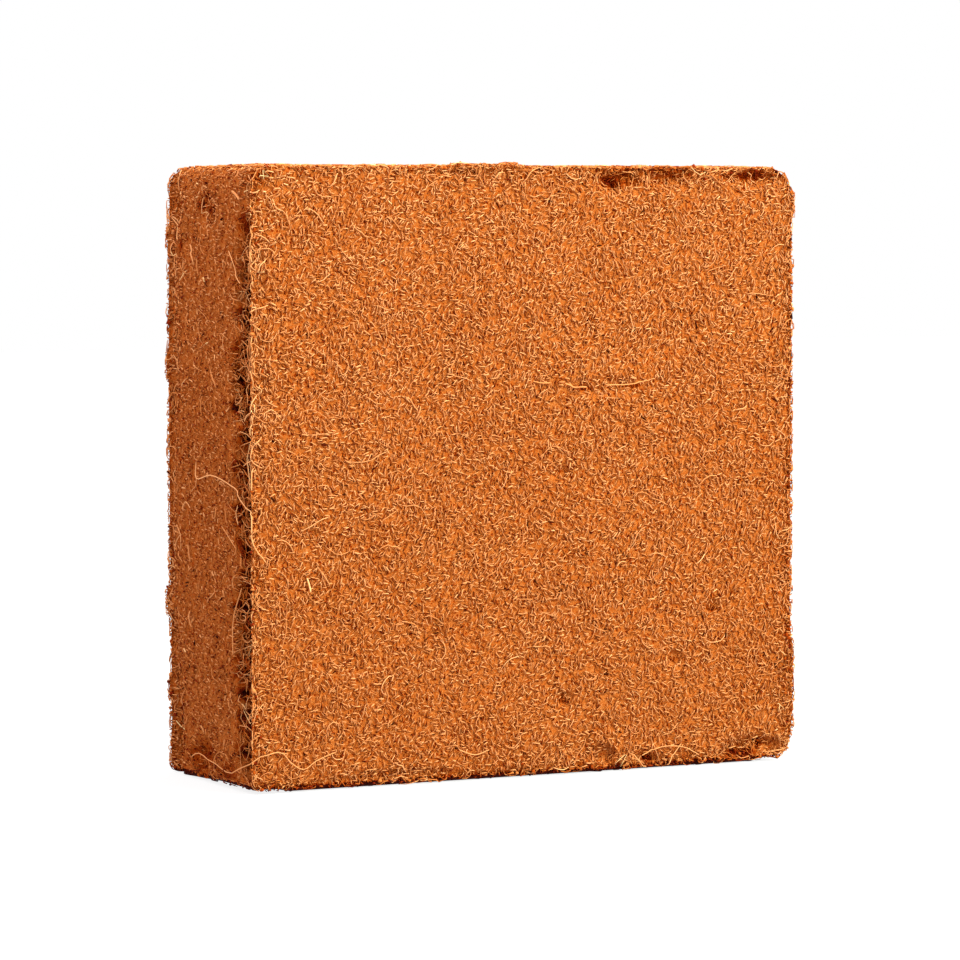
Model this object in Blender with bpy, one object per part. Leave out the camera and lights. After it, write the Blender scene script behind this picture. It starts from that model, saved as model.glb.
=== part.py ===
# A pressed bale of coconut coir: a square block of pith and short fibre that stands on a narrow side.
# Metres, +Z up. X is the width, Y the thickness, which is the way the bale was pressed, Z the height.
# The origin is the centre of the base. The front large face looks towards -Y.

from collections import namedtuple

import bmesh
import bpy
import numpy as np
from mathutils import Vector, noise

# Outer size
WIDTH = 0.305
THICKNESS = 0.105
HEIGHT = 0.305
CORNER_RADII = {  # the corners that run through the thickness, by side (-1 left) and height (-1 bottom)
    (-1, 1): 0.011,
    (1, 1): 0.015,
    (-1, -1): 0.007,
    (1, -1): 0.015,
}
RIM_RADIUS = 0.0015  # the rims round the two large faces, before they crumble

# Where the outsides are
FRONT = -THICKNESS / 2
BACK = THICKNESS / 2
LEFT = -WIDTH / 2
RIGHT = WIDTH / 2
TOP = HEIGHT

# Slow unevenness of the pressed faces
SWELL_LENGTH = 0.075
SWELL_DEPTH = 0.0008
RIPPLE_LENGTH = 0.022
RIPPLE_DEPTH = 0.0005

# Crumbling along the rims of the two large faces
RIM_LOSS = 0.0052  # the deepest, where no place below says otherwise
FACE_REACH = 0.0060  # how far the loss runs in over a large face where the rim is worn most
SIDE_REACH = 0.0180  # and how far over the narrow side
LEAST_REACH = 0.5  # share of those two that a sound stretch has
STRETCH_LENGTH = 0.055  # worn and sound stretches follow each other about this far apart
LIP_LENGTH = 0.0045  # the pressed skin of a large face stands proud for this far
LIP_LOSS = 0.15  # share of the loss that reaches the edge of that skin

# Inside the edge itself, the loss grows no steeper than this, as (on the large face, on the narrow side). The
# two worn surfaces would cross behind the edge if the product of the slopes came near to 1.
EDGE_WIDTH = 0.0022
EDGE_LOSS = 0.0009  # the most that the edge itself loses
UPRIGHT_SLOPES = (0.12, 1.30)  # at the left and right, where the hollows lie behind the skin of the large face
LEVEL_SLOPES = (0.80, 0.15)  # at the top and bottom, where they lie in the large face
SLOPE_BLEND = 0.020  # how far the one goes over into the other round a corner

# Clods, the lumps that crumbling takes whole or leaves
CLOD_SIZE = 0.0085
CLOD_LEAST = 0.25  # share of the loss that takes the soundest clod
CRACK_DEPTH = 0.0018
CRACK_WIDTH = 0.45  # in clod sizes

# Shifts that pick one patch of noise for each use
STRETCH_SHIFT = Vector((11.0, 2.0, 5.0))
SWELL_SHIFT = Vector((0.4, 8.2, 3.6))
RIPPLE_SHIFT = Vector((6.1, 0.9, 4.4))
CLOD_SHIFT = Vector((3.1, 7.7, 1.3))

# The flat foot that the bale stands on
FOOT_HALF_WIDTH = 0.130
FOOT_HALF_DEPTH = 0.046
FOOT_EDGE = 0.005

# Mesh
GRAIN = 0.0020  # spacing of the fine mesh that is worn down
TRIANGLES = 9700  # what is left of it, most of them along the rims
SHARP_ANGLE = 50
SHARP_CORNER = 1.0  # radians; a corner that is not rounded yet turns by more

# Finish
COIR_COLOUR = (203, 113, 54)
COIR_ROUGHNESS = 0.92

# A place is an ellipsoid: its middle, its half sizes, and how deep it is at its middle
Place = namedtuple("Place", "name middle half depth")

WORN_RIMS = (
    Place("front left, the deepest holes", (LEFT, FRONT + 0.009, 0.200), (0.012, 0.017, 0.028), 0.0070),
    Place("front left, upper holes", (LEFT, FRONT + 0.008, 0.250), (0.012, 0.014, 0.032), 0.0044),
    Place("front left, groove", (LEFT, FRONT + 0.008, 0.145), (0.012, 0.015, 0.040), 0.0046),
    Place("front left, patch of holes", (LEFT, FRONT + 0.009, 0.078), (0.012, 0.017, 0.036), 0.0056),
    Place("front left, by the bottom", (LEFT, FRONT + 0.008, 0.024), (0.014, 0.015, 0.024), 0.0042),
    Place("top, first recess", (0.050, FRONT, TOP - 0.006), (0.015, 0.010, 0.010), 0.0036),
    Place("top, second recess", (0.079, FRONT, TOP - 0.005), (0.013, 0.010, 0.009), 0.0040),
    Place("top, notch", (0.090, FRONT + 0.004, TOP), (0.006, 0.012, 0.006), 0.0026),
    Place("top, by the right corner", (0.128, FRONT + 0.002, TOP - 0.005), (0.022, 0.010, 0.007), 0.0026),
    Place("bottom, first hole", (0.042, FRONT, 0.009), (0.008, 0.010, 0.006), 0.0040),
    Place("bottom, second hole", (0.066, FRONT, 0.004), (0.010, 0.010, 0.006), 0.0038),
    Place("bottom, by the right corner", (0.130, FRONT, 0.005), (0.026, 0.012, 0.010), 0.0036),
    Place("bottom, left half", (-0.075, FRONT, 0.003), (0.045, 0.010, 0.006), 0.0020),
    Place("front right, nick", (RIGHT, FRONT + 0.006, 0.240), (0.010, 0.012, 0.010), 0.0026),
    Place("front right, lower stretch", (RIGHT, FRONT + 0.006, 0.105), (0.010, 0.012, 0.045), 0.0022),
    Place("back left, low", (LEFT, BACK - 0.006, 0.020), (0.012, 0.014, 0.028), 0.0042),
    Place("back left, high", (LEFT, BACK - 0.006, 0.285), (0.012, 0.014, 0.020), 0.0028),
    Place("back top", (-0.070, BACK, TOP - 0.003), (0.040, 0.014, 0.010), 0.0034),
    Place("back right", (RIGHT, BACK - 0.007, 0.170), (0.012, 0.014, 0.050), 0.0036),
    Place("back bottom", (0.085, BACK, 0.004), (0.040, 0.012, 0.008), 0.0032),
)

DENTS = (
    Place("front, long shallow ledge", (0.043, FRONT, 0.1950), (0.021, 0.004, 0.0050), 0.0018),
    Place("front, low in the middle", (0.019, FRONT, 0.038), (0.006, 0.004, 0.005), 0.0018),
    Place("front, low on the right", (0.083, FRONT, 0.056), (0.006, 0.004, 0.005), 0.0016),
    Place("front, right of that", (0.106, FRONT, 0.081), (0.006, 0.004, 0.005), 0.0016),
    Place("front, middle", (0.018, FRONT, 0.152), (0.006, 0.004, 0.005), 0.0014),
    Place("left side, near the bottom", (LEFT, 0.008, 0.013), (0.005, 0.015, 0.011), 0.0030),
    Place("left side, near the top", (LEFT, 0.000, 0.282), (0.005, 0.011, 0.010), 0.0018),
    Place("left side, below that", (LEFT, 0.024, 0.268), (0.005, 0.010, 0.009), 0.0016),
    Place("back, broad and shallow", (-0.060, BACK, 0.120), (0.034, 0.005, 0.026), 0.0014),
    Place("back, near the top", (0.072, BACK, 0.232), (0.010, 0.004, 0.008), 0.0018),
    Place("right side", (RIGHT, 0.006, 0.070), (0.005, 0.013, 0.016), 0.0018),
    Place("top", (-0.020, 0.010, TOP), (0.022, 0.012, 0.005), 0.0016),
)

# These stand proud
LUMPS = (
    Place("top rim, long lump", (-0.026, FRONT + 0.003, TOP), (0.026, 0.010, 0.006), 0.0012),
    Place("top rim, its highest point", (-0.008, FRONT + 0.003, TOP), (0.007, 0.007, 0.006), 0.0008),
    Place("front right rim, high", (RIGHT, FRONT + 0.005, 0.286), (0.008, 0.010, 0.010), 0.0010),
    Place("front right rim, low", (RIGHT, FRONT + 0.006, 0.040), (0.010, 0.014, 0.036), 0.0014),
    Place("back left rim, high", (LEFT, BACK - 0.003, 0.268), (0.008, 0.008, 0.011), 0.0010),
    Place("back left rim, middle", (LEFT, BACK - 0.003, 0.205), (0.008, 0.008, 0.010), 0.0012),
    Place("back left rim, flap", (LEFT, BACK - 0.003, 0.086), (0.008, 0.008, 0.010), 0.0016),
    Place("back left rim, low", (LEFT, BACK - 0.003, 0.042), (0.008, 0.008, 0.008), 0.0012),
)


def clear_scene():
    for thing in list(bpy.data.objects):
        bpy.data.objects.remove(thing, do_unlink=True)


def linear(colour):
    """A 0 to 255 picture colour as a material takes it."""
    scaled = np.array(colour) / 255
    dark = scaled / 12.92
    light = ((scaled + 0.055) / 1.055) ** 2.4
    return (*np.where(scaled <= 0.04045, dark, light), 1.0)


def smooth(share):
    """0 below 0, 1 above 1, and an even curve between."""
    share = min(max(share, 0.0), 1.0)
    return share * share * (3 - 2 * share)


def noise_at(point, length, shift):
    """Noise of about -0.5 to 0.5 whose lumps are as far apart as the length."""
    return 0.5 * noise.noise(point / length + shift)


def bevel(shape, edges, radius, segments):
    bmesh.ops.bevel(
        shape, geom=edges, offset=radius, segments=segments, profile=0.5, affect="EDGES", clamp_overlap=True
    )


def corner_of(point):
    """Which of the four corners the point is nearest to, by side and height."""
    return (1 if point.x > 0 else -1, 1 if point.z > HEIGHT / 2 else -1)


def pressed_block():
    """The block as it leaves the mould: even faces, round corners and rims."""
    shape = bmesh.new()
    bmesh.ops.create_cube(shape, size=1)
    bmesh.ops.scale(shape, vec=(WIDTH, THICKNESS, HEIGHT), verts=shape.verts)
    bmesh.ops.translate(shape, vec=(0, 0, HEIGHT / 2), verts=shape.verts)

    def runs_through(edge):
        return abs(edge.verts[0].co.y - edge.verts[1].co.y) > THICKNESS / 2

    for corner, radius in CORNER_RADII.items():
        through = [edge for edge in shape.edges if runs_through(edge)]
        here = [edge for edge in through if corner_of(edge.verts[0].co) == corner]
        bevel(shape, [edge for edge in here if edge.calc_face_angle() > SHARP_CORNER], radius, 6)
    bevel(shape, [edge for edge in shape.edges if not runs_through(edge)], RIM_RADIUS, 2)
    mesh = bpy.data.meshes.new("coir_bale")
    shape.to_mesh(mesh)
    shape.free()
    return mesh


def modified(mesh, kind, **settings):
    """The mesh as one modifier leaves it."""
    helper = bpy.data.objects.new("helper", mesh)
    bpy.context.scene.collection.objects.link(helper)
    modifier = helper.modifiers.new(kind.title(), kind)
    for name, value in settings.items():
        setattr(modifier, name, value)
    graph = bpy.context.evaluated_depsgraph_get()
    made = bpy.data.meshes.new_from_object(helper.evaluated_get(graph))
    bpy.data.objects.remove(helper, do_unlink=True)
    return made


def gap_to_sides(point):
    """How far the point is inside the narrow sides and the mould's round corners."""
    radius = CORNER_RADII[corner_of(point)]
    across = abs(point.x) - (WIDTH / 2 - radius)
    upright = abs(point.z - HEIGHT / 2) - (HEIGHT / 2 - radius)
    round_corner = Vector((max(across, 0.0), max(upright, 0.0))).length
    return radius - round_corner - min(max(across, upright), 0.0)


def depth_at(point, places):
    """The depth that the places reach together at the point."""
    depth = 0.0
    for place in places:
        away = point - Vector(place.middle)
        inside = 1 - sum((along / half) ** 2 for along, half in zip(away, place.half))
        if inside > 0:
            depth += place.depth * smooth(1.3 * inside)
    return depth


def clod_at(point):
    """How far from a crack the point is, from 0 to 1, and how loose its clod is, from 0 to 1."""
    distances, middles = noise.voronoi(point / CLOD_SIZE)
    from_crack = smooth((distances[1] - distances[0]) / CRACK_WIDTH)
    loose = 0.5 + 1.6 * noise_at(middles[0], 0.175, CLOD_SHIFT)
    return from_crack, min(max(loose, 0.0), 1.0)


def most_loss(point, face_gap, side_gap):
    """The deepest that the point may sink without crossing the surface on the other side of its rim."""
    across = abs(point.x) - WIDTH / 2
    upright = abs(point.z - HEIGHT / 2) - HEIGHT / 2
    share = smooth(0.5 + (across - upright) / SLOPE_BLEND)
    face_slope, side_slope = (level + (up - level) * share for level, up in zip(LEVEL_SLOPES, UPRIGHT_SLOPES))
    face_room = face_slope * max(side_gap - EDGE_WIDTH, 0.0)
    side_room = side_slope * max(face_gap - EDGE_WIDTH, 0.0)
    return EDGE_LOSS + face_room + side_room


def rim_loss(point, face_gap, side_gap):
    """Crumbling round the two large faces: whole clods gone, and cracks between those that stay."""
    wear = 0.5 + 1.5 * noise_at(point, STRETCH_LENGTH, STRETCH_SHIFT)
    reach = LEAST_REACH + 0.65 * wear
    near = smooth(1.5 * (1 - (face_gap / SIDE_REACH + side_gap / FACE_REACH) / reach))
    listed = depth_at(point, WORN_RIMS)
    if near == 0 and listed == 0:
        return 0.0
    from_crack, loose = clod_at(point)
    crumbled = RIM_LOSS * wear * near * (CLOD_LEAST + (1 - CLOD_LEAST) * loose)
    holes = listed * (0.5 + 0.75 * loose)
    cracks = CRACK_DEPTH * (1 - from_crack) * max(near, min(listed / RIM_LOSS, 1.0))
    # The pressed skin at the very edge holds together better than what is behind it
    edge = LIP_LOSS + (1 - LIP_LOSS) * smooth((face_gap + side_gap) / LIP_LENGTH)
    return (crumbled + holes + cracks) * edge


def face_loss(point):
    """Slow swells and ripples of the faces, and the few dents in them."""
    swell = 0.5 + 2 * noise_at(point, SWELL_LENGTH, SWELL_SHIFT)
    ripple = 0.5 + 2 * noise_at(point, RIPPLE_LENGTH, RIPPLE_SHIFT)
    dent = depth_at(point, DENTS)
    if dent > 0:
        dent *= 0.5 + clod_at(point)[1]
    return SWELL_DEPTH * swell + RIPPLE_DEPTH * ripple + dent


def loss_at(point):
    face_gap = THICKNESS / 2 - abs(point.y)
    side_gap = gap_to_sides(point)
    loss = rim_loss(point, face_gap, side_gap) + face_loss(point)
    return min(loss, most_loss(point, face_gap, side_gap))


def off_the_foot(point, normal):
    """0 on the flat foot, 1 everywhere else."""
    if normal.z > -0.5:
        return 1.0
    beside = max(abs(point.x) - FOOT_HALF_WIDTH, abs(point.y) - FOOT_HALF_DEPTH)
    return smooth(beside / FOOT_EDGE)


def wear_down(mesh):
    """Sinks each point along its normal by what is lost there."""
    pressed = [(vertex.co.copy(), vertex.normal.copy()) for vertex in mesh.vertices]
    for vertex, (point, normal) in zip(mesh.vertices, pressed):
        loss = loss_at(point) - depth_at(point, LUMPS)
        vertex.co = point - normal * loss * off_the_foot(point, normal)


def fit_to_size(mesh):
    """Brings the worn block back to its outer size, and stands it on z = 0 with its foot exactly flat."""
    points = np.empty(len(mesh.vertices) * 3)
    mesh.vertices.foreach_get("co", points)
    points = points.reshape(-1, 3)
    low = points.min(axis=0)
    high = points.max(axis=0)
    points = (points - (low + high) / 2) * np.array((WIDTH, THICKNESS, HEIGHT)) / (high - low)
    points[:, 2] += HEIGHT / 2
    points[points[:, 2] < 0.00005, 2] = 0.0
    mesh.vertices.foreach_set("co", points.ravel())
    mesh.update()


def coir_material():
    material = bpy.data.materials.new("coir")
    material.use_nodes = True
    shader = material.node_tree.nodes["Principled BSDF"]
    shader.inputs["Base Color"].default_value = linear(COIR_COLOUR)
    shader.inputs["Roughness"].default_value = COIR_ROUGHNESS
    shader.inputs["Metallic"].default_value = 0.0
    return material


def coir_bale():
    fine = modified(pressed_block(), "REMESH", mode="VOXEL", voxel_size=GRAIN)
    wear_down(fine)
    fine_triangles = sum(len(face.vertices) - 2 for face in fine.polygons)
    mesh = modified(fine, "DECIMATE", ratio=TRIANGLES / fine_triangles)
    fit_to_size(mesh)
    mesh.name = "coir_bale"
    mesh.shade_smooth()
    mesh.set_sharp_from_angle(angle=np.radians(SHARP_ANGLE))
    mesh.materials.append(coir_material())
    bpy.context.scene.collection.objects.link(bpy.data.objects.new("coir_bale", mesh))


clear_scene()
coir_bale()
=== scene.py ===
import math

import bpy
import numpy as np
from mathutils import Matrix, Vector, noise
from mathutils.bvhtree import BVHTree


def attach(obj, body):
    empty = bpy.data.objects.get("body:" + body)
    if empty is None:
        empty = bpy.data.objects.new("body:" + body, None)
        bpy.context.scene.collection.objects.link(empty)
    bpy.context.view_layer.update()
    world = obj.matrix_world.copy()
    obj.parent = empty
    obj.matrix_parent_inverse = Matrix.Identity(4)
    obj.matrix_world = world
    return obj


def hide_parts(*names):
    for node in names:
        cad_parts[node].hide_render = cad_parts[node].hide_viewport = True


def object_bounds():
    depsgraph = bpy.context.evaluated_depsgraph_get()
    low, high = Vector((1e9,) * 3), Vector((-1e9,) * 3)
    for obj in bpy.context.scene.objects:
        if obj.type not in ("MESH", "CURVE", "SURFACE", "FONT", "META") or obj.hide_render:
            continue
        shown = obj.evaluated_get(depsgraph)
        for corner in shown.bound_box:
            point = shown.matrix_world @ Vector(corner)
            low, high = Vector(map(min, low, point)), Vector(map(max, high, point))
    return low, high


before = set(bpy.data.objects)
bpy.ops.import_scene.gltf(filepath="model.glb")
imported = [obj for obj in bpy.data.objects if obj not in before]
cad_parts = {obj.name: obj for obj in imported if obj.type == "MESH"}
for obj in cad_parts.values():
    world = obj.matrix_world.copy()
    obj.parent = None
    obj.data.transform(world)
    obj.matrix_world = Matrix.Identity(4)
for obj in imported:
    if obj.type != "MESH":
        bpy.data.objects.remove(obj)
cadLow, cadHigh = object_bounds()
print("frame loaded")

low = np.array(cadLow)
high = np.array(cadHigh)
frontY, backY = low[1], high[1]
leftX, rightX = low[0], high[0]
topZ = high[2]
cornerRadius = 0.012            # about what the mould's corners have


# Shader maths

class Wire:                     # one output socket, with the sums that the materials use
    def __init__(self, finish, socket):
        self.finish = finish
        self.socket = socket

    def __add__(self, other):
        return self.finish.sum("ADD", self, other)

    def __radd__(self, other):
        return self.finish.sum("ADD", other, self)

    def __sub__(self, other):
        return self.finish.sum("SUBTRACT", self, other)

    def __rsub__(self, other):
        return self.finish.sum("SUBTRACT", other, self)

    def __mul__(self, other):
        return self.finish.sum("MULTIPLY", self, other)

    def __rmul__(self, other):
        return self.finish.sum("MULTIPLY", other, self)


class Finish:                   # one material and its nodes
    def __init__(self, name):
        self.material = bpy.data.materials.new(name)
        self.material.use_nodes = True
        self.tree = self.material.node_tree
        self.tree.nodes.clear()

    def node(self, kind, settings, sockets, out=0):
        made = self.tree.nodes.new(kind)
        for key, value in settings.items():
            if key == "stops":
                self.setStops(made.color_ramp, value)
            else:
                setattr(made, key, value)
        for key, value in sockets.items():
            if isinstance(value, Wire):
                self.tree.links.new(value.socket, made.inputs[key])
            else:
                made.inputs[key].default_value = value
        return Wire(self, made.outputs[out]) if len(made.outputs) else made

    def setStops(self, ramp, stops):
        while len(ramp.elements) < len(stops):
            ramp.elements.new(0.5)
        for element, (place, colour) in zip(ramp.elements, stops):
            element.position = place
            element.color = (*colour, 1.0)

    def sum(self, operation, first, second):
        return self.node("ShaderNodeMath", {"operation": operation}, {0: first, 1: second})

    def clamp(self, value):
        return self.node("ShaderNodeClamp", {}, {"Value": value})

    def spread(self, value, fromLow, fromHigh, toLow=0.0, toHigh=1.0):
        sockets = {"Value": value, 1: fromLow, 2: fromHigh, 3: toLow, 4: toHigh}
        return self.node("ShaderNodeMapRange", {"interpolation_type": "SMOOTHSTEP"}, sockets)

    def moved(self, place, shift):
        return self.node("ShaderNodeVectorMath", {"operation": "ADD"}, {0: place, 1: shift})

    def noise(self, place, scale, detail=1.0, roughness=0.5, warp=0.0):
        sockets = {"Vector": place, "Scale": scale, "Detail": detail}
        sockets.update({"Roughness": roughness, "Distortion": warp})
        return self.node("ShaderNodeTexNoise", {}, sockets)

    def close(self, shader):
        self.node("ShaderNodeOutputMaterial", {}, {"Surface": shader})
        return self.material


# Colours, as straight light

coirTones = [                   # darkest pith to palest straw
    (0.00, (0.024, 0.0010, 0.0000)),
    (0.20, (0.190, 0.0120, 0.0000)),
    (0.35, (0.325, 0.0460, 0.0010)),
    (0.50, (0.448, 0.1110, 0.0160)),
    (0.70, (0.625, 0.2170, 0.0660)),
    (0.90, (0.830, 0.3750, 0.1500)),
    (1.00, (0.960, 0.6100, 0.2700)),
]

fibreLook = {
    "mottleScale": 420.0,
    "mottle": 0.14,
    "roughDark": 0.85,
    "roughPale": 0.55,
    "gloss": 0.06,
}


def fibreFinish(look):
    finish = Finish("coir fibre")
    tone = finish.node("ShaderNodeAttribute", {"attribute_name": "tone"}, {}, "Fac")
    place = finish.node("ShaderNodeTexCoord", {}, {}, "Object")
    mottle = finish.noise(place, look["mottleScale"], 2.0)
    shade = finish.clamp(tone + (mottle - 0.5) * look["mottle"])
    colour = finish.node("ShaderNodeValToRGB", {"stops": coirTones}, {"Fac": shade})
    rough = finish.spread(shade, 0.0, 1.0, look["roughDark"], look["roughPale"])
    sockets = {"Base Color": colour, "Roughness": rough, "Specular IOR Level": look["gloss"]}
    return finish.close(finish.node("ShaderNodeBsdfPrincipled", {}, sockets))


pithLook = {
    "lineScale": 480.0,         # the fine felt between the fibres that are modelled
    "lineWidth": 0.055,
    "warp": 1.2,
    "poreScale": 420.0,
    "poreSize": 0.30,
    # the pores are painted darker by this, as shade in the pits
    "pore": 0.25,
    "patchScale": 17.0,
    "patch": 0.05,
    "base": 0.41,
    "line": 0.18,
    # how dark the painted shade in the recesses is
    "hollow": 0.50,
    "bump": 0.6,
    "bumpDistance": 0.0004,
    "gloss": 0.03,
    "rough": 0.9,
}


def pithFinish(look):
    finish = Finish("pressed pith")
    place = finish.node("ShaderNodeTexCoord", {}, {}, "Object")
    # the tone attribute carries the painted shade of the recesses
    hollow = finish.node("ShaderNodeAttribute", {"attribute_name": "tone"}, {}, "Fac")
    lines = 0.0
    for turn, scale in enumerate((1.0, 1.3)):            # curls lie where a warped noise crosses its middle
        moved = finish.moved(place, (3.7 * turn, 1.9 * turn, 5.3 * turn))
        grain = finish.noise(moved, look["lineScale"] * scale, 1.0, 0.4, look["warp"])
        near = finish.node("ShaderNodeMath", {"operation": "ABSOLUTE"}, {0: grain - 0.5})
        line = finish.spread(near, look["lineWidth"], 0.0)
        lines = line if turn == 0 else finish.sum("MAXIMUM", lines, line)
    # pores: small pits, painted darker as shade and sunk a little by the bump
    cell = finish.node("ShaderNodeTexVoronoi", {}, {"Vector": place, "Scale": look["poreScale"]}, "Distance")
    pores = finish.spread(cell, look["poreSize"], 0.5 * look["poreSize"])
    patch = finish.noise(place, look["patchScale"], 3.0) - 0.5
    tone = lines * look["line"] + patch * look["patch"] - hollow * look["hollow"] + look["base"]
    shade = finish.clamp(tone - pores * look["pore"])
    colour = finish.node("ShaderNodeValToRGB", {"stops": coirTones}, {"Fac": shade})
    height = lines - pores
    bumpSockets = {"Strength": look["bump"], "Distance": look["bumpDistance"], "Height": height}
    bump = finish.node("ShaderNodeBump", {}, bumpSockets)
    sockets = {"Base Color": colour, "Roughness": look["rough"], "Normal": bump}
    sockets["Specular IOR Level"] = look["gloss"]
    return finish.close(finish.node("ShaderNodeBsdfPrincipled", {}, sockets))


# Meshes from arrays

def meshFrom(name, points, triangles, material, tones=None, uv=None):
    mesh = bpy.data.meshes.new(name)
    mesh.vertices.add(len(points))
    mesh.vertices.foreach_set("co", np.ascontiguousarray(points, np.float32).ravel())
    mesh.loops.add(3 * len(triangles))
    mesh.loops.foreach_set("vertex_index", np.ascontiguousarray(triangles, np.int32).ravel())
    mesh.polygons.add(len(triangles))
    mesh.polygons.foreach_set("loop_start", np.arange(0, 3 * len(triangles), 3, dtype=np.int32))
    mesh.update(calc_edges=True)
    mesh.shade_smooth()
    if tones is not None:
        mesh.attributes.new("tone", "FLOAT", "POINT").data.foreach_set("value", tones.astype(np.float32))
    if uv is not None:
        mesh.uv_layers.new(name="OFBake").data.foreach_set("uv", uv.astype(np.float32).ravel())
    mesh.materials.append(material)
    piece = bpy.data.objects.new(name, mesh)
    bpy.context.scene.collection.objects.link(piece)
    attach(piece, "root")
    print(f"{name}: {len(triangles)} triangles")
    return piece


def unit(vectors):
    return vectors / np.maximum(np.linalg.norm(vectors, axis=-1, keepdims=True), 1e-12)


def smooth(share):
    share = np.clip(share, 0.0, 1.0)
    return share * share * (3 - 2 * share)


def noiseAt(points, length, shift=0.0):  # about -0.5 to 0.5, lumps as far apart as the length
    scaled = points / length + shift
    return 0.5 * np.array([noise.noise(Vector(point)) for point in scaled])


# The bed: the solid's own surface, which the fibres are laid along

def bedMesh():
    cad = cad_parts["coir_bale"].data
    cad.calc_loop_triangles()
    points = np.empty(3 * len(cad.vertices))
    cad.vertices.foreach_get("co", points)
    faces = np.empty(3 * len(cad.loop_triangles), np.int32)
    cad.loop_triangles.foreach_get("vertices", faces)
    points, place = np.unique(points.reshape(-1, 3).round(7), axis=0, return_inverse=True)
    return points, place.reshape(-1)[faces].reshape(-1, 3)


outward = {
    "closest": 0.002,           # no face counts as nearer than this share of the half size
    "together": 0.3,            # faces count together when they are about as near as this
    "steady": 0.8,              # how much the way out turns the solid's own normals at its thin lips
}


def outwards(points):           # the way out of the block, from near its faces
    middle = (low + high) / 2
    half = (high - low) / 2
    places = (points - middle) / half
    near = 1 / (half * (1 - abs(places)).clip(outward["closest"], None))
    near = np.where(near > outward["together"] * near.max(axis=-1, keepdims=True), near, 0)
    return unit(near * np.sign(places))


fuller = [                      # where the surface stands out a little more: the middle, the reach, the shift
    ((leftX, backY, 0.175), (0.025, 0.035, 0.090), (-0.0008, 0.0, 0.0)),
    ((leftX, backY, 0.004), (0.020, 0.030, 0.015), (-0.0005, 0.0, -0.0020)),
    ((rightX, frontY, 0.150), (0.025, 0.035, 0.110), (0.0006, 0.0, 0.0)),
    ((rightX, frontY, 0.008), (0.012, 0.030, 0.012), (0.0004, 0.0, -0.0016)),
    ((0.042, frontY, 0.011), (0.008, 0.008, 0.005), (0.0, -0.0020, 0.0)),
]
fullerFade = 1.5                # it fades out at this many times its reach


def filled(points):
    moved = points.copy()
    for place, reach, shift in fuller:
        gaps = np.linalg.norm((points - np.array(place)) / np.array(reach), axis=1)
        moved += smooth(fullerFade - gaps)[:, None] * np.array(shift)
    moved[:, 2] = np.maximum(moved[:, 2], 0.0)
    return moved


bedPoints, bedFaces = bedMesh()
bedPoints = filled(bedPoints)
bedCorners = bedPoints[bedFaces]
bedCross = np.cross(bedCorners[:, 1] - bedCorners[:, 0], bedCorners[:, 2] - bedCorners[:, 0])
bedAreas = np.linalg.norm(bedCross, axis=1) / 2
bedNormals = np.zeros_like(bedPoints)
for corner in range(3):
    np.add.at(bedNormals, bedFaces[:, corner], bedCross)
bedNormals = unit(unit(bedNormals) + outward["steady"] * outwards(bedPoints))
bedTree = BVHTree.FromPolygons(bedPoints.tolist(), bedFaces.tolist())


def onBed(points):              # the nearest points of the bed, with its smooth normals
    hits = [bedTree.find_nearest(Vector(point)) for point in points]
    places = np.array([hit[0] for hit in hits])
    faces = np.array([hit[2] for hit in hits])
    corners = bedPoints[bedFaces[faces]]
    whole = np.maximum(2 * bedAreas[faces], 1e-12)
    shares = []
    for corner in range(3):
        one = corners[:, (corner + 1) % 3] - places
        two = corners[:, (corner + 2) % 3] - places
        shares.append(np.linalg.norm(np.cross(one, two), axis=1) / whole)
    normals = np.einsum("cn,ncx->nx", np.array(shares), bedNormals[bedFaces[faces]])
    return places, unit(normals)


def scattered(count, weights, dice):     # random points of the bed, as dense as the faces' weights say
    chances = bedAreas * weights
    faces = dice.choice(len(bedFaces), count, p=chances / chances.sum())
    shares = dice.dirichlet((1, 1, 1), count)
    return onBed(np.einsum("nc,ncx->nx", shares, bedCorners[faces]))


def gapToSides(points):         # how far inside the narrow sides
    middle = (low + high) / 2
    across = abs(points[:, 0] - middle[0]) - ((high[0] - low[0]) / 2 - cornerRadius)
    upright = abs(points[:, 2] - middle[2]) - ((high[2] - low[2]) / 2 - cornerRadius)
    roundCorner = np.hypot(np.maximum(across, 0), np.maximum(upright, 0))
    return cornerRadius - roundCorner - np.minimum(np.maximum(across, upright), 0)


def gapToFaces(points):         # how far inside the nearer large face
    return np.minimum(points[:, 1] - frontY, backY - points[:, 1])


def gapToRim(points):           # how far from the nearer rim of the large faces
    return np.maximum(gapToFaces(points), 0) + np.maximum(gapToSides(points), 0)


def wornAt(points):             # how deep the surface lies inside the box that it once filled
    return np.maximum(np.minimum(gapToSides(points), gapToFaces(points)), 0)


wear = {
    "from": 0.0046,             # where the solid is worn deeper than this, the pith is looser and painted darker as shade
    "range": 0.0030,
}


def looseAt(points):
    return smooth((wornAt(points) - wear["from"]) / wear["range"])


facing = 0.7                    # how straight a face looks to its side
bedMiddles = bedCorners.mean(axis=1)
bedFacing = unit(bedCross)
bedRimGap = gapToRim(bedMiddles)
bedWorn = looseAt(bedMiddles)
facingFront = bedFacing[:, 1] < -facing
facingBack = bedFacing[:, 1] > facing
facingDown = bedFacing[:, 2] < -facing
facingSide = ~(facingFront | facingBack | facingDown)
print("bed ready")


# Hollows, sunk into the pith and painted darker as shade: the middle and the reach in millimetres, how much
# darker

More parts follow.
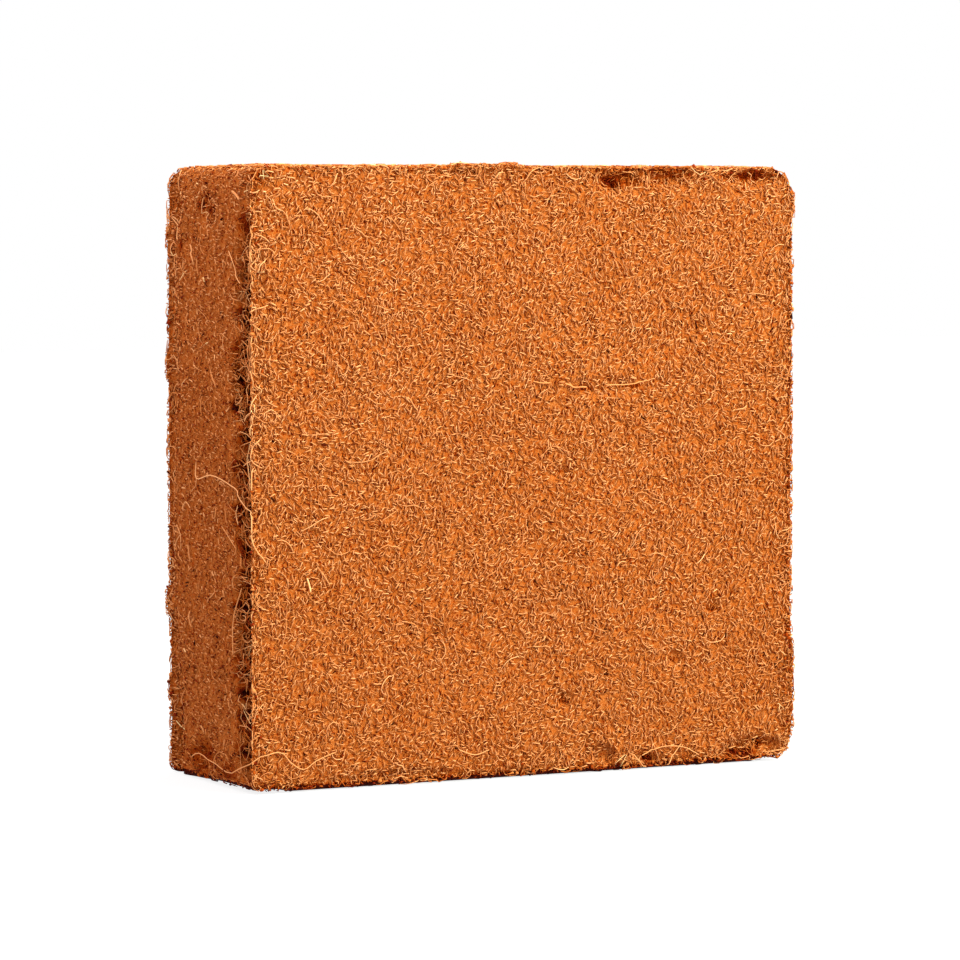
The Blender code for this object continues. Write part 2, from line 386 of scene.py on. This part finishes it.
frontShadedHollows = [                  # x, z, reach in x, reach in z, dark
    (30, 193, 6, 1.2, 0.40),             # painted shadow under the small ledge
    (60, 193.5, 5, 0.9, 0.25),
    (19, 38, 2.4, 1.8, 0.25),
    (83, 55, 2.6, 1.6, 0.22),
    (106, 80, 2.6, 2.0, 0.25),
    (18, 152, 2.4, 1.8, 0.22),
    (68, 5, 2.6, 1.8, 0.60),
    (50, 3, 2.0, 1.5, 0.45),
    (123, 4.5, 9, 2.2, 0.50),
    (-147, 299, 5, 6, 0.25),
    (50, 298, 12, 5, 0.25),
    (78, 301, 12, 4, 0.25),
    (128, 299, 18, 2.5, 0.35),
]
leftShadedHollows = [                   # y, z, reach in y, reach in z, dark
    (9, 284, 3.5, 2.2, 0.55),
    (-1, 281, 3.0, 2.5, 0.60),
    (3, 288, 4.0, 1.5, 0.45),
    (36, 262, 3.5, 2.5, 0.40),
    (-41, 275, 6, 6, 0.35),              # the row of holes behind the front rim, painted dark as shade
    (-42, 262, 7, 4, 0.50),
    (-42, 246, 8, 6, 0.55),
    (-40, 230, 8, 5, 0.60),
    (-40, 214, 11, 7, 0.85),
    (-41, 200, 11, 7, 0.95),
    (-39, 187, 11, 6, 0.90),
    (-43, 172, 8, 8, 0.75),
    (-41, 156, 11, 6, 0.95),
    (-43, 145, 8, 5, 0.80),
    (-41, 134, 11, 7, 0.90),
    (-42, 120, 9, 6, 0.80),
    (-43, 104, 7, 6, 0.70),
    (-40, 90, 11, 7, 0.90),
    (-42, 76, 8, 5, 0.75),
    (-39, 60, 10, 6, 0.85),
    (-42, 48, 8, 5, 0.70),
    (-41, 34, 9, 6, 0.75),
    (-39, 20, 9, 4, 0.70),
    (9, 11, 15, 8, 0.22),
    (-20, 8, 9, 5, 0.25),
]
marks = {
    "frontDepth": 0.009,        # how deep under the front and the left side they still paint shade
    "leftDepth": 0.014,
    "lip": 0.0032,              # those of the left side spare the front's lip
    "fade": 1.4,                # they fade out at about this many times their reach
    "ragged": 1.2,
    "bumpLength": 0.004,        # of the bumps in their outlines
    "footShadow": 0.75,           # painted shadow along the lowest edge, which is the darkest
    "footReach": 0.0042,
}


# painted shade, 0 to 1, along the lowest edge and in the listed hollows
def shadeAt(points):
    shade = marks["footShadow"] * smooth(1 - points[:, 2] / marks["footReach"])
    onFront = np.flatnonzero(points[:, 1] < frontY + marks["frontDepth"])
    behindLip = points[:, 1] > frontY + marks["lip"]
    onLeft = np.flatnonzero((points[:, 0] < leftX + marks["leftDepth"]) & behindLip)
    for places, column, listed in ((onFront, 0, frontShadedHollows), (onLeft, 1, leftShadedHollows)):
        seen = points[places][:, [column, 2]]
        ragged = marks["fade"] + marks["ragged"] * noiseAt(points[places], marks["bumpLength"], 2.9)
        for across, height, reachAcross, reachUp, dark in listed:
            gaps = np.hypot(*((1000 * seen - (across, height)) / (reachAcross, reachUp)).T)
            shade[places] = np.maximum(shade[places], dark * smooth(ragged - gaps))
    return shade


# The pith: the pressed mass, which stands for the solid

pith = {
    "inset": 0.0009,            # the fibres lie in this depth under the solid's surface
    "rimInset": 0.0002,         # and nearer to it at the very rims, for a firm outline
    "insetReach": 0.0040,
    "lumpLength": 0.0065,
    "lump": 0.0006,
    "rimReach": 0.010,
    "rimLoose": 0.20,           # the sound rims are this loose, the worn ones 1
    "clod": 0.0050,             # the size of the loose clods
    "clodSink": 0.75,
    "clodLuck": 0.9,            # some sink more than others
    "crackSink": 0.5,
    "crackWidth": 0.4,          # as a share of the clods' size
    "rimDepth": 0.0018,
    "wornDepth": 0.0014,
    "deepShade": 0.5,
    "markDepth": 0.0050,
    "markShade": 1.5,
    "footReach": 0.0025,        # near the floor it fills the solid, so that the edge stays closed
    "footRagged": 0.0030,       # and its lowest edge is uneven
    "raggedLength": 0.009,
    "raggedDepth": 0.0065,      # behind the large faces
    "raggedFade": 0.003,
    "raggedHeight": 0.0035,
}


def quartered(points, faces):   # each triangle cut in four
    edges = np.sort(np.concatenate([faces[:, [0, 1]], faces[:, [1, 2]], faces[:, [2, 0]]]), axis=1)
    edges, place = np.unique(edges, axis=0, return_inverse=True)
    middles = len(points) + place.reshape(3, -1)
    a, b, c = faces.T
    ab, bc, ca = middles
    quarters = ((a, ab, ca), (ab, b, bc), (ca, bc, c), (ab, bc, ca))
    faces = np.concatenate([np.stack(quarter, 1) for quarter in quarters])
    return np.concatenate([points, points[edges].mean(axis=1)]), faces


def clodsAt(points, looseness):          # how far the clods and the cracks between them sink, 0 to about 1
    sink = np.zeros(len(points))
    for number in np.flatnonzero(looseness > 0):
        gaps, middles = noise.voronoi(Vector(points[number]) / pith["clod"])
        luck = 0.5 + pith["clodLuck"] * noise.noise(middles[0] * 4.1)
        crack = max(0.0, 1 - (gaps[1] - gaps[0]) / pith["crackWidth"])
        sink[number] = looseness[number] * (pith["clodSink"] * luck + pith["crackSink"] * crack)
    return sink


def raggedFoot(points):         # how far the lowest edge is lifted
    behind = smooth((pith["raggedDepth"] - gapToFaces(points)) / pith["raggedFade"])
    atFoot = behind * smooth(1.5 - points[:, 2] / pith["raggedHeight"])
    return pith["footRagged"] * atFoot * noiseAt(points, pith["raggedLength"], 6.3).clip(0)


def makePith():
    points, faces = quartered(*quartered(bedPoints, bedFaces))
    normals = onBed(points)[1]
    nearRim = smooth(1 - gapToRim(points) / pith["rimReach"])
    worn = looseAt(points)
    veryRim = smooth(1 - gapToRim(points) / pith["insetReach"])
    inset = pith["inset"] + (pith["rimInset"] - pith["inset"]) * veryRim
    sunk = inset + pith["lump"] * (0.5 + noiseAt(points, pith["lumpLength"], 4.3))
    hollow = clodsAt(points, np.maximum(pith["rimLoose"] * nearRim, worn))
    shade = shadeAt(points)
    sunk = sunk + pith["rimDepth"] * hollow + pith["wornDepth"] * worn + pith["markDepth"] * shade ** 2
    sunk *= smooth(points[:, 2] / pith["footReach"])
    points = points - normals * sunk[:, None]
    points[:, 2] = np.maximum(points[:, 2], 0.0) + raggedFoot(points)
    # painted shade in the recesses: the clods' cracks, the worn hollows and the marked hollows
    hollow = np.clip(hollow + pith["deepShade"] * worn + pith["markShade"] * shade, 0, 1)
    piece = meshFrom("pressed_pith", points, faces, pithFinish(pithLook), hollow)
    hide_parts("coir_bale")


# Fibres

def stepShares(stops):          # the first and the last step are shorter, so that the tips stay blunt
    shares = np.ones(stops - 1)
    shares[[0, -1]] = 0.6
    return shares / shares.sum()


def marched(points, normals, headings, bends, stepLengths):
    # walks each fibre over the bed, turning by its bends, and gives the places and the normals there
    paths = [points]
    ups = [normals]
    for bend, length in zip(bends.T, stepLengths.T):
        across = np.cross(normals, headings)
        turn = (bend * length)[:, None]
        headings = unit(headings * np.cos(turn) + across * np.sin(turn))
        points, normals = onBed(points + headings * length[:, None])
        headings = unit(headings - normals * np.einsum("nx,nx->n", headings, normals)[:, None])
        paths.append(points)
        ups.append(normals)
    return np.stack(paths, 1), np.stack(ups, 1)


swirl = {                       # felted fibres curl side by side, along the ridges of a random swell
    "spacing": 0.0017,
    "spacingSpread": 0.12,
    "waves": 36,
    "reach": 0.0005,            # how far a fibre is pulled towards its ridge
    "cell": 0.0007,
    "overlap": 2,
    "acrossSides": 0.55,        # the pattern is stretched across the narrow sides
    "upSides": 0.70,            # and its fibres are shorter upwards
    "tries": 3,
}
swirlDice = np.random.default_rng(5)
swirlWaves = swirlDice.normal(size=(3, swirl["waves"], 3))
for side in range(3):
    swirlWaves[side, :, side] = 0
swirlSteps = swirl["spacing"] * np.exp(swirl["spacingSpread"] * swirlDice.normal(size=(3, swirl["waves"], 1)))
swirlWaves = unit(swirlWaves) * 2 * np.pi / swirlSteps
swirlWaves[0, :, 1] *= swirl["acrossSides"]
swirlStarts = swirlDice.uniform(0, 2 * np.pi, (3, swirl["waves"]))


def swirlAt(points, normals, sign):      # the way across the nearest ridge or groove, and the step to it
    sides = abs(normals).argmax(axis=1)
    waves = swirlWaves[sides]
    phases = np.einsum("nwx,nx->nw", waves, points) + swirlStarts[sides]
    slopes = -sign * np.einsum("nw,nwx->nx", np.sin(phases), waves)
    bends = -sign * np.einsum("nw,nwx,nwy->nxy", np.cos(phases), waves, waves)
    values, ways = np.linalg.eigh(bends)
    across = ways[:, :, 0]
    steps = np.einsum("nx,nx->n", slopes, across) / np.maximum(abs(values[:, 0]), 1e-9)
    return across, across * np.clip(steps, -swirl["reach"], swirl["reach"])[:, None]


def swirled(points, normals, stepLengths, sign):
    for again in range(4):
        across, steps = swirlAt(points, normals, sign)
        points, normals = onBed(points + steps)
    headings = unit(np.cross(normals, across))
    paths = [points]
    ups = [normals]
    for length in stepLengths.T:
        upright = (abs(normals[:, 0]) > 0.7) * abs(headings[:, 2])
        stretch = 1 - (1 - swirl["upSides"]) * upright
        ahead = points + headings * (length * stretch)[:, None]
        across, steps = swirlAt(ahead, normals, sign)
        points, normals = onBed(ahead + steps)
        along = unit(np.cross(normals, across))
        headings = along * np.where(np.einsum("nx,nx->n", along, headings) < 0, -1, 1)[:, None]
        paths.append(points)
        ups.append(normals)
    return np.stack(paths, 1), np.stack(ups, 1)


def thinned(paths, count):      # the first fibres that don't lie along one another
    steps = np.concatenate([paths, (paths[:, 1:] + paths[:, :-1]) / 2], axis=1)
    cells = np.floor(steps / swirl["cell"]).astype(int).tolist()
    taken, kept = set(), []
    for number, row in enumerate(cells):
        spots = [tuple(spot) for spot in row]
        if sum(spot in taken for spot in spots) <= swirl["overlap"]:
            taken.update(spots)
            kept.append(number)
    return np.array(kept[:count])


def tubes(paths, ups, halfWidths, sides=3):
    # closed tubes with a pointed tip at each end; gives points, triangles and the map for the bake
    count, stops = paths.shape[:2]
    rings = stops - 2
    tangents = unit(np.gradient(paths, axis=1))
    across = unit(np.cross(tangents, ups))
    lifts = np.cross(across, tangents)
    angles = np.pi / 2 + 2 * np.pi * np.arange(sides) / sides
    ring = (
        np.cos(angles)[None, None, :, None] * across[:, 1:-1, None]
        + np.sin(angles)[None, None, :, None] * lifts[:, 1:-1, None]
    )
    body = paths[:, 1:-1, None] + ring * halfWidths[:, None, None, None]
    each = rings * sides + 2
    points = np.concatenate([paths[:, :1], body.reshape(count, -1, 3), paths[:, -1:]], axis=1)
    faces, spots = [], []
    columns = np.arange(stops) / (stops - 1)
    for side in range(sides):
        after = (side + 1) % sides
        lowRow, highRow = side / sides, (side + 1) / sides
        faces.append((0, 1 + side, 1 + after))
        spots.append(((columns[0], (lowRow + highRow) / 2), (columns[1], lowRow), (columns[1], highRow)))
        last = 1 + (rings - 1) * sides
        faces.append((last + side, each - 1, last + after))
        spots.append(((columns[-2], lowRow), (columns[-1], (lowRow + highRow) / 2), (columns[-2], highRow)))
        for ringNumber in range(rings - 1):
            here = 1 + ringNumber * sides
            there = here + sides
            left, right = columns[ringNumber + 1], columns[ringNumber + 2]
            faces.append((here + side, there + side, there + after))
            spots.append(((left, lowRow), (right, lowRow), (right, highRow)))
            faces.append((here + side, there + after, here + after))
            spots.append(((left, lowRow), (right, highRow), (left, highRow)))
    triangles = (np.array(faces)[None] + each * np.arange(count)[:, None, None]).reshape(-1, 3)
    cells = math.ceil(math.sqrt(count))
    corner = np.stack([np.arange(count) % cells, np.arange(count) // cells], 1)
    uv = (corner[:, None, None] + 0.08 + 0.84 * np.array(spots)[None]) / cells
    return points.reshape(-1, 3), triangles, uv.reshape(-1, 2)


def ringTones(stopTones, sides=3):
    rings = np.repeat(stopTones[:, 1:-1], sides, axis=1)
    return np.clip(np.hstack([stopTones[:, :1], rings, stopTones[:, -1:]]), 0.0, 1.0).ravel()


bridge = {                      # the strip of hollows behind the front left rim, and how the strip fades out
    "right": -0.135,
    "rightFade": 0.006,
    "back": -0.022,
    "backFade": 0.008,
    "front": -0.0495,
    "frontFade": 0.0025,
    "depth": 0.0025,            # the fibres over it stay up to this depth
    "widen": 0.8,               # in loops that are wider by this
}


def bridged(paths, staysUp):    # lifts the fibres over the hollows by their shares
    x, y = paths[..., 0], paths[..., 1]
    near = smooth((bridge["right"] - x) / bridge["rightFade"]) * smooth((bridge["back"] - y) / bridge["backFade"])
    near = near * smooth((y - bridge["front"]) / bridge["frontFade"])
    bent = paths.copy()
    bent[..., 0] -= np.maximum(x - leftX - bridge["depth"], 0) * near * staysUp
    bent[..., 1] += bridge["widen"] * (y - y.mean(axis=1, keepdims=True)) * near
    bent[..., 1] = np.maximum(bent[..., 1], frontY)
    return bent


strawTones = (0.80, 0.95)       # of the few pale fibres
edge = {                        # The outlines at the right and the top, where the fibres are painted darker as shade
    "depth": 0.004,
    "fade": 0.002,
    "reach": 0.004,
}


def fibrePaths(style, weights, shares, dice):    # where the fibres start, and their ways over the bed
    count = style["count"] * (swirl["tries"] if style["swirled"] else 1)
    points, normals = scattered(count, weights, dice)
    lengths = style["length"] * np.exp(dice.normal(0, style["lengthSpread"], count))
    stepLengths = lengths[:, None] * shares[None]
    if style["swirled"]:
        paths, ups = swirled(points, normals, stepLengths, style["swirled"])
        kept = thinned(paths, style["count"])
        return points[kept], paths[kept], ups[kept]
    headings = unit(np.cross(normals, unit(dice.normal(size=(count, 3)))))
    bend = dice.normal(0, style["curl"], (count, 1))
    wobble = dice.normal(0, style["wobble"], (count, len(shares)))
    paths, ups = marched(points, normals, headings, bend + wobble, stepLengths)
    return points, paths, ups


def fibreTones(style, points, rise, dice):       # one tone for each fibre, by its place and its rise, with painted shade and light in it, 0 to 1
    count = len(points)
    patches = noiseAt(points, style["patchLength"], 7.1)
    tones = style["tone"] + style["toneSpread"] * dice.normal(size=count) + style["patch"] * patches
    # painted shade and light: fibres that lie lower are darker, and all are paler towards the top as the light
    # falls
    tones += style["riseShade"] * (rise - 0.5) + style["topPale"] * (points[:, 2] / topZ - 0.5)
    outside = np.maximum(points[:, 0] - rightX, points[:, 2] - topZ)
    atEdge = smooth((outside + edge["depth"]) / edge["fade"])
    tones -= style["edgeShade"] * atEdge * smooth(2 - gapToRim(points) / edge["reach"])
    # painted shade on the fibres in the worn hollows
    tones -= style["deepShade"] * looseAt(points)
    pale = dice.random(count) < style["paleShare"]
    tones[pale] = dice.uniform(*strawTones, pale.sum())
    return tones


def layFibres(name, style, weights, seed):
    dice = np.random.default_rng(seed)
    stops = style["points"]
    shares = stepShares(stops)
    points, paths, ups = fibrePaths(style, weights, shares, dice)
    count = len(points)
    along = np.concatenate([[0], np.cumsum(shares)])
    base = dice.uniform(*style["lift"], (count, 1))
    rimRise = style["rimRise"] * smooth(1 - gapToRim(points) / pith["rimReach"])[:, None]
    arch = style["arch"] * dice.uniform(0, 2, (count, 1)) * np.sin(np.pi * along)[None]
    ends = -style["sunkEnds"] * (abs(2 * along - 1) ** 4)[None]
    paths = paths + ups * (base + rimRise + arch + ends)[..., None]
    staysUp = style["bridge"] * np.sqrt(dice.random((count, 1)))
    if style["bridge"]:
        paths = bridged(paths, staysUp)
    halfWidths = style["width"] / 2 * np.exp(dice.normal(0, style["widthSpread"], count))
    paths[..., 2] = np.maximum(paths[..., 2], halfWidths[:, None] + 0.0001)
    rise = (base[:, 0] - style["lift"][0]) / (style["lift"][1] - style["lift"][0])
    stopTones = np.repeat(fibreTones(style, points, rise, dice)[:, None], stops, axis=1)
    # painted shade at the sunk ends
    stopTones[:, [0, -1]] -= style["endShade"]
    # painted shade: random dark spots along the fibres for the pits between them
    stopTones -= style["pitShade"] * (dice.random(stopTones.shape) < style["poreShare"])
    shade = shadeAt(paths.reshape(-1, 3)).reshape(count, stops)
    stopTones += style["markShade"] * (1.1 * staysUp - 1) * shade         # painted shade in the hollows; a fibre that stays up stays pale
    made, triangles, uv = tubes(paths, ups, halfWidths)
    return meshFrom(name, made, triangles, coirFibre, ringTones(stopTones), uv)


coirFibre = fibreFinish(fibreLook)

underFelt = {                   # the short curly fibres that are pressed in
    "swirled": -1,              # 1 on the ridges, -1 in the grooves, 0 where they lie at random
    "count": 16400,
    "points": 4,
    "length": 0.0040,
    "lengthSpread": 0.20,
    "width": 0.00066,
    "widthSpread": 0.20,
    "lift": (-0.0010, -0.0006),
    "arch": 0.0001,
    "sunkEnds": 0.0003,
    "rimRise": 0.0001,
    "tone": 0.53,
    "toneSpread": 0.04,
    # fibres that lie lower are painted darker as shade by this
    "riseShade": 0.06,
    "topPale": 0.050,           # painted lighter at the top than at the bottom by this, as the light falls
    "edgeShade": 0.14,           # and painted darker as shade at the right and the top outlines
    "patch": 0.06,
    "patchLength": 0.030,
    "paleShare": 0.0,
    "endShade": 0.05,
    "poreShare": 0.11,
    "pitShade": 0.50,
    "deepShade": 0.35,
    "markShade": 1.0,
    "bridge": 0.0,              # how far the fibres stay up over the worn hollows
}

topFelt = dict(
    underFelt,                  # and those on top of them
    swirled=1,
    length=0.0038,
    width=0.00064,
    lift=(-0.0005, 0.0000),
    tone=0.75,
    toneSpread=0.05,
    paleShare=0.002,
    endShade=0.10,
    poreShare=0.02,
)

sideFelt = dict(topFelt, length=0.0046, width=0.00062, lift=(-0.0006, 0.0001), tone=0.61, toneSpread=0.11)
sideFelt.update(poreShare=0.17, topPale=0.08)
backFelt = dict(topFelt, count=10500, length=0.0044, lift=(-0.0007, 0.0000), tone=0.66)

makePith()
bedShade = shadeAt(bedMiddles)
feltWeight = (1 - 0.8 * bedWorn) * (1 - bedShade)
layFibres("front_felt_under", underFelt, facingFront * feltWeight, 11)
layFibres("front_felt_top", topFelt, facingFront * feltWeight, 12)
layFibres("side_felt", sideFelt, (facingSide + 0.2 * facingDown) * feltWeight, 13)
layFibres("back_felt", backFelt, facingBack * feltWeight, 14)

longFibres = dict(              # longer ones here and there on every face
    topFelt,
    swirled=0,
    count=900,
    points=8,
    length=0.0120,
    lengthSpread=0.35,
    width=0.00055,
    curl=130.0,                 # turn in radians to a metre
    wobble=130.0,
    lift=(-0.0006, 0.0001),
    arch=0.0003,
    sunkEnds=0.0010,
    tone=0.70,
    toneSpread=0.07,
    paleShare=0.02,
    poreShare=0.0,
)
layFibres("long_fibres", longFibres, facingFront + 0.8 * facingSide + 0.6 * facingBack, 15)

rimFibres = dict(               # the frayed network over the worn rims
    topFelt,
    swirled=0,
    count=2300,
    points=6,
    length=0.0110,
    lengthSpread=0.40,
    width=0.00056,
    curl=260.0,
    wobble=220.0,
    lift=(-0.0014, 0.0002),
    arch=0.0003,
    sunkEnds=0.0012,
    tone=0.63,
    toneSpread=0.12,
    riseShade=0.30,
    edgeShade=0.20,
    paleShare=0.02,
    deepShade=0.05,
    markShade=0.9,
    endShade=0.0,
    poreShare=0.0,
    bridge=1.0,
)
frayed = {                      # how thick the network and the crumbs lie
    "reach": 0.012,             # from the rims
    "rim": 0.6,
    "wornRim": 1.0,
    "worn": 0.5,
    "marks": 0.4,
}
rimWeight = smooth(1 - bedRimGap / frayed["reach"]) * (frayed["rim"] + frayed["wornRim"] * bedWorn)
rimWeight = rimWeight + frayed["worn"] * bedWorn + frayed["marks"] * bedShade
layFibres("rim_fibres", rimFibres, rimWeight * ~facingDown, 16)


# The hairs and the splinter that stand out in the photograph, by places on the surface in millimetres

hairs = [
    {"width": 0.00062, "tone": 0.86, "points": [
        (-153, 13.5, 158.5), (-153, 13, 149.5), (-153, -5, 152), (-152, -30, 148), (-151.5, -39, 142),
        (-151.5, -50, 136), (-151, -52, 131), (-151, -51.5, 126)]},
    {"width": 0.00050, "tone": 0.74, "points": [(-153, 13, 150), (-153, 14, 146), (-153, 17, 144)]},
    {"width": 0.00050, "tone": 0.76, "points": [(-152.5, -16, 128), (-152, -24, 123.5), (-151.5, -33, 118)]},
    {"width": 0.00055, "tone": 0.80, "points": [(-151.5, -51, 126), (-149, -53, 119), (-143.5, -53, 112)]},
    {"width": 0.00060, "tone": 0.84, "points": [
        (-152, -27, 262), (-151.5, -31, 257), (-151.5, -34.5, 250), (-151, -39, 246)]},
    {"width": 0.00055, "tone": 0.78, "points": [(-142, -53, 236), (-149, -53, 234), (-151.5, -48, 232)]},
    {"width": 0.00060, "tone": 0.86, "points": [(-148, -53, 193), (-151, -51, 188), (-151.5, -44, 180)]},
    {"width": 0.00055, "tone": 0.80, "points": [
        (-146, -53, 173), (-150, -53, 168.5), (-151.5, -48, 161), (-151.5, -43, 158.5)]},
    {"width": 0.00060, "tone": 0.80, "points": [(-150, -53, 158), (-151.5, -52, 153), (-151.5, -52, 147)]},
    {"width": 0.00130, "tone": 0.74, "points": [(-153, -31, 290.5), (-153, -35, 289), (-153, -39, 286.5)]},
    {"width": 0.00055, "tone": 0.76, "points": [
        (-153, 21, 10), (-153, 9, 14), (-153, -7, 11), (-153, -26, 8), (-153, -47, 14), (-145, -53, 19),
        (-136, -53, 20), (-131, -53, 15), (-124, -53, 11), (-117, -53, 15), (-106, -53, 19)]},
    {"width": 0.00055, "tone": 0.76, "points": [(-153, -44, 100), (-153, -34, 84), (-153, -33, 66)]},
    {"width": 0.00060, "tone": 0.72, "points": [(153, -47, 66), (154, -46, 58), (153, -44, 50)]},
    {"width": 0.00055, "tone": 0.78, "points": [(-40, -53, 16), (-31, -53, 13), (-23, -53, 15)]},
    {"width": 0.00055, "tone": 0.76, "points": [(58, -53, 8), (62, -53, 4), (66, -53, 1)]},
    {"width": 0.00050, "tone": 0.76, "points": [(62, -53, 7), (75, -53, 11), (88, -53, 10), (97, -53, 5)]},
    {"width": 0.00055, "tone": 0.78, "points": [(78, -53, 1.5), (82, -53, 7), (86, -53, 12)]},
    {"width": 0.00090, "tone": 0.93, "points": [(-122, -53, 104), (-121, -53, 101), (-120, -53, 97)]},
    {"width": 0.00070, "tone": 0.68, "points": [(1, -53, 197), (6, -53, 196), (11, -53, 196)]},
    {"width": 0.00090, "tone": 0.70, "points": [(19, -53, 195.5), (25, -53, 194), (31, -53, 193.5)]},
    {"width": 0.00055, "tone": 0.72, "points": [(41, -53, 194.5), (55, -53, 194.5), (68, -53, 196.5)]},
]
hairLay = {
    "stops": 30,
    "lift": 0.0003,
    "over": 0.001,              # farther from the bed than about this, a hair crosses a hollow
}


def evenly(points, stops):      # a smooth line through the points
    knots = np.array(points) / 1000
    knots = np.vstack([2 * knots[0] - knots[1], knots, 2 * knots[-1] - knots[-2]])
    line = []
    for share in np.linspace(0, len(points) - 1.001, stops):
        span = int(share)
        t = share - span
        a, b, c, d = knots[span:span + 4]
        square = (2 * a - 5 * b + 4 * c - d) * t ** 2
        cube = (3 * b - a - 3 * c + d) * t ** 3
        line.append(0.5 * (2 * b + (c - a) * t + square + cube))
    return np.array(line)


def layHairs():
    lines = np.array([evenly(hair["points"], hairLay["stops"]) for hair in hairs])
    paths, ups = onBed(lines.reshape(-1, 3))
    paths = (paths + hairLay["lift"] * ups).reshape(lines.shape)
    over = smooth(np.linalg.norm(paths - lines, axis=2) / hairLay["over"] - 1.5)[..., None]
    paths = paths + (lines - paths) * over
    widths = np.array([hair["width"] for hair in hairs])
    tones = np.repeat([[hair["tone"]] for hair in hairs], hairLay["stops"], axis=1)
    made, triangles, uv = tubes(paths, ups.reshape(lines.shape), widths / 2, 5)
    meshFrom("loose_hairs", made, triangles, coirFibre, ringTones(tones, 5), uv)


layHairs()


# Crumbs along the rims

crumbs = {
    "count": 1600,
    "size": (0.0004, 0.0012),
    "stretch": (0.6, 1.3),
    "rough": 0.28,
    "lift": (-0.0026, 0.0002),
    "tone": 0.42,
    "toneSpread": 0.15,
}


def crumbShape():               # an icosahedron's corners and faces
    golden = (1 + math.sqrt(5)) / 2
    corners = [(-1, golden, 0), (1, golden, 0), (-1, -golden, 0), (1, -golden, 0)]
    shape = unit(np.array([np.roll(corner, turn) for turn in range(3) for corner in corners]))
    gaps = np.linalg.norm(shape[:, None] - shape[None], axis=2)
    near = gaps < 1.1 * gaps[gaps > 0].min()
    faces = []
    for a in range(12):
        for b in range(a + 1, 12):
            for c in range(b + 1, 12):
                if near[a, b] and near[b, c] and near[a, c]:
                    outward = np.dot(np.cross(shape[a], shape[b]), shape[c]) > 0
                    faces.append((a, b, c) if outward else (a, c, b))
    return shape, np.array(faces)


def makeCrumbs(seed):
    dice = np.random.default_rng(seed)
    shape, faces = crumbShape()
    count = crumbs["count"]
    points, normals = scattered(count, rimWeight * ~facingDown, dice)
    sizes = dice.uniform(*crumbs["size"], (count, 1, 1))
    bodies = shape[None] * (1 + crumbs["rough"] * dice.normal(size=(count, 12, 1)).clip(-1.5, 1.5))
    bodies = bodies * dice.uniform(*crumbs["stretch"], (count, 1, 3))
    lift = dice.uniform(*crumbs["lift"], (count, 1))
    made = bodies * sizes + (points + normals * lift)[:, None]
    made[..., 2] = np.maximum(made[..., 2], 0.0001)
    triangles = (faces[None] + 12 * np.arange(count)[:, None, None]).reshape(-1, 3)
    tones = np.clip(crumbs["tone"] + crumbs["toneSpread"] * dice.normal(size=count), 0.05, 0.9)
    meshFrom("rim_crumbs", made.reshape(-1, 3), triangles, coirFibre, np.repeat(tones, 12))


makeCrumbs(17)


# Floor, light and camera

studio = {
    "floorSize": 12.0,
    "floorDrop": 0.0002,        # under the foot
    "floorColour": (0.15, 0.15, 0.15, 1.0),
    "floorGlow": 0.84,
    "sky": 1.0,
    "key": 130.0,
    "keySize": 1.2,
    "keyPlace": (1.25, -1.75, 1.55),
    "keyColour": (0.97, 1.17, 1.0),
    "top": 2.4,
    "topSize": 0.3,
    "topPlace": (-0.38, -0.15, 0.75),
}


def addLight(name, energy, size, place, colour):
    light = bpy.data.lights.new(name, "AREA")
    light.energy = energy
    light.size = size
    light.color = colour
    lamp = bpy.data.objects.new(name, light)
    lamp.location = place
    aim = Vector((0, 0, topZ / 2)) - lamp.location
    lamp.rotation_euler = aim.to_track_quat("-Z", "Y").to_euler()
    bpy.context.scene.collection.objects.link(lamp)


def makeStudio():
    finish = Finish("pale floor")
    sockets = {"Base Color": studio["floorColour"], "Roughness": 0.9, "Specular IOR Level": 0.1}
    sockets["Emission Color"] = (1.0, 1.0, 1.0, 1.0)
    sockets["Emission Strength"] = studio["floorGlow"]
    material = finish.close(finish.node("ShaderNodeBsdfPrincipled", {}, sockets))
    half = studio["floorSize"] / 2
    mesh = bpy.data.meshes.new("floor")
    corners = [(-half, -half, 0), (half, -half, 0), (half, half, 0), (-half, half, 0)]
    mesh.from_pydata(corners, [], [(0, 1, 2, 3)])
    mesh.materials.append(material)
    floor = bpy.data.objects.new("floor", mesh)
    floor.location.z = -studio["floorDrop"]
    bpy.context.scene.collection.objects.link(floor)
    world = bpy.data.worlds.new("white room")
    world.use_nodes = True
    sky = world.node_tree.nodes["Background"]
    sky.inputs["Color"].default_value = (1.0, 1.0, 1.0, 1.0)
    sky.inputs["Strength"].default_value = studio["sky"]
    bpy.context.scene.world = world
    addLight("key", studio["key"], studio["keySize"], studio["keyPlace"], studio["keyColour"])
    addLight("top", studio["top"], studio["topSize"], studio["topPlace"], (1.0, 1.0, 1.0))
    bpy.context.scene.view_settings.view_transform = "Standard"


photoCamera = {
    "place": (-1.0143, -1.9838, 0.2844),
    "heading": 27.04,           # degrees from +Y towards +X
    "dip": 3.576,
    "lens": 165.6,
}


def makeCamera():
    lens = bpy.data.cameras.new("camera")
    lens.lens = photoCamera["lens"]
    lens.clip_start = 0.05
    camera = bpy.data.objects.new("camera", lens)
    camera.location = photoCamera["place"]
    camera.rotation_euler = (math.radians(90 - photoCamera["dip"]), 0, -math.radians(photoCamera["heading"]))
    bpy.context.scene.collection.objects.link(camera)
    bpy.context.scene.camera = camera


makeStudio()
makeCamera()
print("scene ready")
